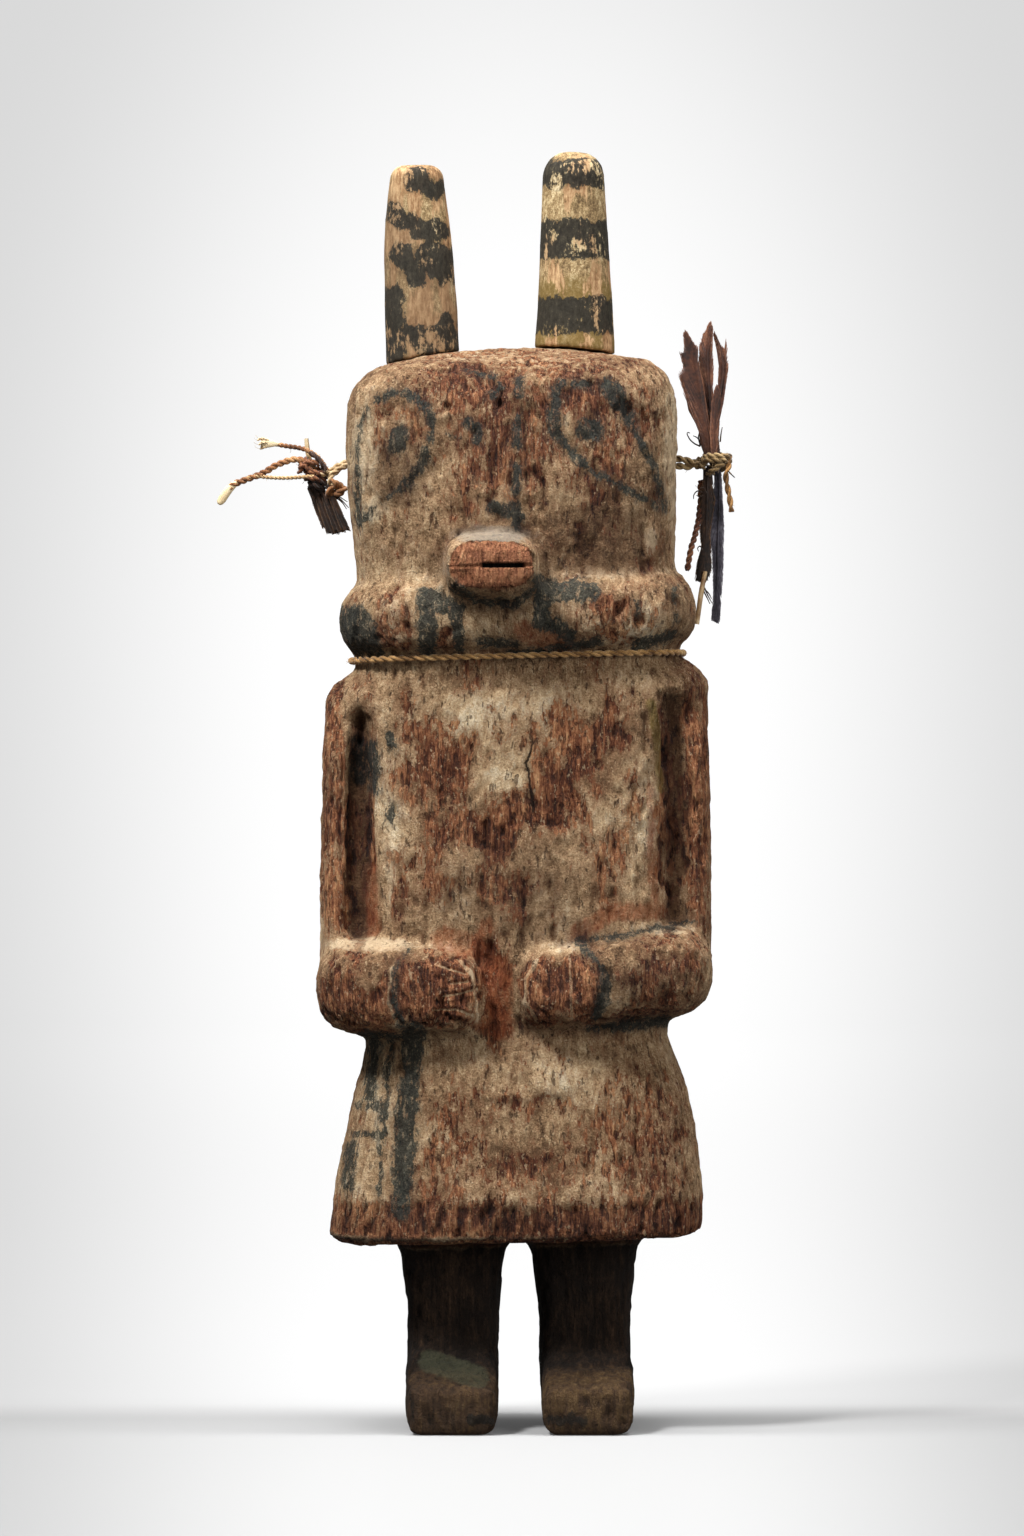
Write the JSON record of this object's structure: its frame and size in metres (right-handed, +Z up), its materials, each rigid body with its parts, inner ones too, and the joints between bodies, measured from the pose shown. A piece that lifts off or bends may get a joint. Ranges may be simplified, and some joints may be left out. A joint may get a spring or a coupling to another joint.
{
  "type": "kachina doll",
  "caption": "Standing carved wooden kachina doll with horned head, snout, ruff, folded arms and kilt, with twine and feathers at the ears.",
  "frame": {"origin": "on the floor, under the middle of the doll's box measured without the twine and feathers at the left ear", "axes": "+Z up, the doll faces -Y, +X to its viewer's right"},
  "size_m": [0.1219, 0.068, 0.3],
  "materials": {
    "carved_wood": "hand-carved and painted wood, pale paint worn through to red-brown wood, matte",
    "horn_wood": "buff painted wood with worn black bands, matte",
    "neck_twine": "two-ply hand-spun tan twine",
    "ear_twine": "two-ply hand-spun pale twine, fraying",
    "red_twine": "reddish twisted cord",
    "brown_feather": "brittle red-brown feather with broken barbs",
    "dark_feather": "dark brown cut feather",
    "slate_feather": "slate-grey feather",
    "quill": "pale dry feather quill"
  },
  "bodies": {
    "root": {"carved_figure": "carved_wood", "left_horn": "horn_wood", "right_horn": "horn_wood", "neck_cord": "neck_twine", "left_ear_cord": "ear_twine", "left_feather_1": "dark_feather", "left_feather_2": "dark_feather", "left_feather_3": "dark_feather", "left_feather_4": "dark_feather", "left_quill": "quill", "right_ear_cord": "ear_twine", "right_feather_broad": "brown_feather", "right_feather_tall": "brown_feather", "right_feather_narrow": "brown_feather", "right_feather_small": "brown_feather", "right_feather_drop": "slate_feather", "right_feather_dark": "dark_feather", "right_quill": "quill", "right_hanging_cord": "red_twine"}
  },
  "joints": []
}
